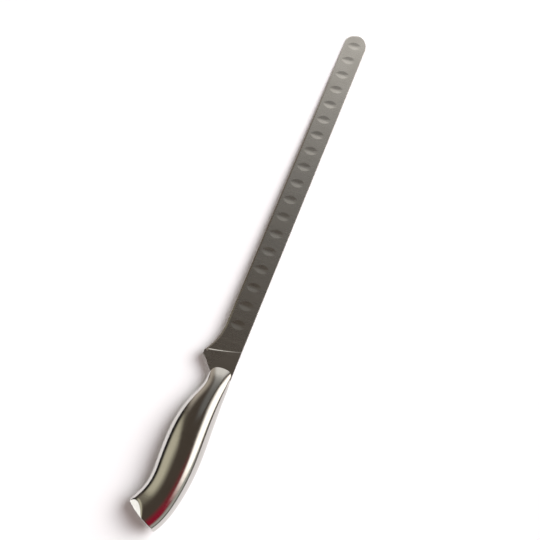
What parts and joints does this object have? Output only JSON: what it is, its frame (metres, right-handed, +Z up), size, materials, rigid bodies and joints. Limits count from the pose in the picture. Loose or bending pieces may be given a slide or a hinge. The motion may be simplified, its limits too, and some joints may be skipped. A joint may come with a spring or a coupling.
{
  "type": "carving knife",
  "caption": "Long flexible slicing knife with a straight round-tipped scalloped blade welded into a curved hollow steel handle, for carving thin slices of ham or roast meat.",
  "frame": {"origin": "on the table, under the centre of the knife's bounding box", "axes": "+Y along the knife towards the tip, +X across it towards the spine, +Z up; the knife lies on its side, on the swell of the handle and the tip"},
  "size_m": [0.0348, 0.4398, 0.0208],
  "materials": {
    "blade_steel": "satin, with a fine grain ground across the blade",
    "handle_steel": "polished, with a faint brushed grain"
  },
  "bodies": {
    "root": {"blade": "blade_steel", "bolster": "handle_steel", "upper_handle_shell": "handle_steel", "lower_handle_shell": "handle_steel"}
  },
  "joints": []
}
